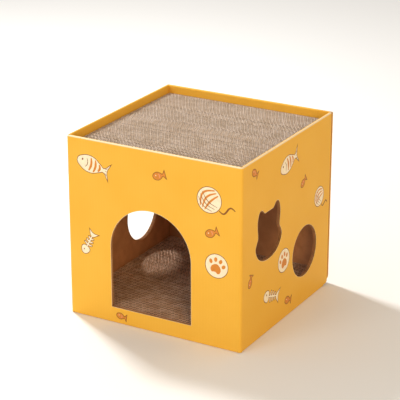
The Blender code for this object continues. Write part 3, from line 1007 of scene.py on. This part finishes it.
def fish_bone():
    """A 66 mm fish bone."""
    head = smooth([(-33, 0), (-22, 11), (-14, 9), (-12, 0), (-14, -9), (-22, -11)])
    tail = smooth([(20, 0), (33, 13), (29, 0), (33, -13)], sharp=(1, 3))
    bones = [stroke([(-14, 0), (4, 0), (24, 0)], 4.0)]
    for x, half in ((-5, 11), (4, 9.5), (13, 7.5)):
        bones.append(stroke(bow((x + 2, half), (x + 2, -half), -3), 3.6))
    solid = [head, tail, *bones]
    shapes = [(BROWN, outline, INK_LINE) for outline in solid]
    shapes += [(CREAM, outline, 0) for outline in solid]
    shapes.append((BROWN, oval(-23, 3, 3.4, 3.8), 0))
    return shapes


def biscuit():
    """A 28 mm fish-shaped biscuit."""
    body = smooth([(-14, 0), (-6, 7), (4, 4), (7, 1.5), (13, 7), (13, -7), (7, -1.5), (4, -4), (-6, -7)],
                  sharp=(4, 5))
    shapes = [(BROWN, body, INK_LINE), (ORANGE, body, 0)]
    shapes.append((CREAM, oval(-7.5, 1.6, 2.4, 2.4), 0))
    shapes.append((ROSE, stroke(bow((-1, 4), (-1, -4), 1.5), 1.8), 0))
    return shapes


# Each wall's motifs: what, where in millimetres along and up, its size and its turn in degrees
PRINTS = {
    "front": [(fish, 60, 318, 0.9, -14), (yarn_ball, 312, 296, 1.0, 8), (paw_print, 328, 168, 0.9, -16),
              (fish_bone, 46, 158, 0.8, 62), (biscuit, 206, 324, 1.0, 18), (biscuit, 118, 17, 0.8, -8),
              (biscuit, 318, 232, 1.0, 24)],
    "right": [(fish, 190, 322, 0.9, 12), (paw_print, 174, 126, 0.9, 12), (yarn_ball, 326, 208, 0.8, -12),
              (fish_bone, 124, 70, 1.0, -18), (biscuit, 254, 262, 0.9, 34), (biscuit, 196, 34, 1.0, -14),
              (biscuit, 36, 134, 0.9, 70), (biscuit, 50, 344, 0.9, -32)],
    "back": [(paw_print, 96, 296, 1.1, 10), (fish, 262, 248, 1.0, -10), (fish_bone, 118, 142, 1.0, 20),
             (yarn_ball, 284, 108, 1.1, 16), (biscuit, 188, 200, 1.0, 30), (biscuit, 196, 60, 1.0, -24)],
    "left": [(yarn_ball, 72, 292, 1.0, -8), (fish_bone, 214, 300, 1.0, 16),
             (paw_print, 322, 262, 1.0, 14), (fish, 276, 128, 1.0, 14), (biscuit, 150, 226, 1.0, -18),
             (biscuit, 44, 48, 1.0, 26), (biscuit, 214, 44, 1.0, -30)],
}


def on_wall(outline, x, z, size, turn):
    """An outline in millimetres, scaled, turned and moved to its place on a wall, in metres."""
    cos, sin = math.cos(math.radians(turn)) * size, math.sin(math.radians(turn)) * size

    def moved(point):
        a, b = point
        return (x + a * cos - b * sin) * MM, (z + a * sin + b * cos) * MM

    if isinstance(outline[0][1], str):
        return [(moved(point), kind) for point, kind in outline]
    return [moved(point) for point in outline]


def make_print(side, holes):
    """The inks on a wall, as thin plates that each lie over the ones before.

    The liner's pale core shows as a fine line round each cut-out.
    """
    plates = []
    for hole in holes:
        grown_hole = plate([hole], -INK_STEP, LINER / 2, grown_by=CUT_EDGE)
        edge = cut(grown_hole, plate([hole], -MM, MM), "DIFFERENCE")
        plates.append(with_material(edge, CREAM))
    for motif, *place in PRINTS[side.name]:
        for level, (ink, outline, grown_by) in enumerate(motif(), start=1):
            film = plate([on_wall(outline, *place)], -level * INK_STEP, LINER / 2,
                         resolution=6, grown_by=grown_by)
            plates.append(with_material(film, ink))
    finished(side.name + "_print", stood_up(plates), side.place, INKS, side.name)


# Studio

FLOOR_REACH = 6.0

# The light all round, white on the left and warm on the right, and where one turns into the other
AROUND_STRENGTH = 0.66
AROUND_LEFT, AROUND_RIGHT = "#EDEDED", "#FFEBD4"
AROUND_TURN = (-0.3, 0.9)

# Softboxes: the way from the house to each, its distance, size, power and colour. The key shines
# through the left wall's hole onto the floor pad, the front one fills the doorway, and the fill
# lifts the right wall
SOFTBOXES = [
    ("key_softbox", (-0.72, 0.285, 0.90), 2.6, 0.35, 58, "#FFFFFF"),
    ("front_softbox", (-0.35, -1.0, 0.35), 3.2, 1.2, 20, "#FFFFFF"),
    ("fill_softbox", (0.75, -0.8, 0.35), 3.0, 1.0, 23, "#FFE2B0"),
]


def make_floor():
    floor = bpy.data.meshes.new("floor")
    shape = bmesh.new()
    bmesh.ops.create_grid(shape, x_segments=1, y_segments=1, size=FLOOR_REACH)
    shape.to_mesh(floor)
    shape.free()
    obj = new_object("floor", floor)
    material, _, shader, _ = new_material("studio_floor", *MATT_FLOOR)
    shader.inputs["Base Color"].default_value = srgb("#F4F4F2")
    floor.materials.append(material)


def light_studio():
    # The print's full yellow lies outside what Blender's softer default transform can show
    bpy.context.scene.view_settings.view_transform = "Standard"
    world = bpy.data.worlds.new("studio")
    bpy.context.scene.world = world
    world.use_nodes = True
    tree = world.node_tree
    way = add(tree, "ShaderNodeTexCoord").outputs["Generated"]
    way_x = add(tree, "ShaderNodeSeparateXYZ", {0: way}).outputs[0]
    side = add(tree, "ShaderNodeMapRange", {
        "Value": way_x, "From Min": AROUND_TURN[0], "From Max": AROUND_TURN[1]},
        interpolation_type="SMOOTHSTEP")
    around = add(tree, "ShaderNodeMix", {0: side, 6: srgb(AROUND_LEFT), 7: srgb(AROUND_RIGHT)},
                 data_type="RGBA").outputs[2]
    background = tree.nodes["Background"]
    tree.links.new(around, background.inputs["Color"])
    background.inputs["Strength"].default_value = AROUND_STRENGTH
    for name, toward, distance, size, power, colour in SOFTBOXES:
        lamp = bpy.data.lights.new(name, "AREA")
        lamp.shape = "SQUARE"
        lamp.size = size
        lamp.energy = power
        lamp.color = srgb(colour)[:3]
        light = new_object(name, lamp)
        back = Vector(toward).normalized()
        light.location = Vector((0, 0, HEIGHT / 2)) + back * distance
        light.rotation_euler = back.to_track_quat("Z", "Y").to_euler()


def make_camera():
    a, e = math.radians(CAMERA_AZIMUTH), math.radians(CAMERA_ELEVATION)
    camera = bpy.data.cameras.new("photo_camera")
    camera.sensor_width = SENSOR
    camera.lens = FOCAL_PIXELS / PHOTO_WIDTH * SENSOR
    camera.clip_end = CAMERA_REACH
    obj = new_object("photo_camera", camera)
    obj.location = CAMERA_PLACE
    back = Vector((math.sin(a) * math.cos(e), -math.cos(a) * math.cos(e), math.sin(e)))
    obj.rotation_euler = back.to_track_quat("Z", "Y").to_euler()
    bpy.context.scene.camera = obj


make_camera()
make_floor()
light_studio()
for side, holes in SIDES.items():
    make_wall(side, holes)
    make_support(side, holes)
    make_bottom_flap(side)
    make_bottom_crease(side)
    make_print(side, holes)
make_corners()
make_closing_flap()
make_shelf()
make_pad("top_pad", "roof_pad")
make_pad("bottom_pad", "floor_pad")
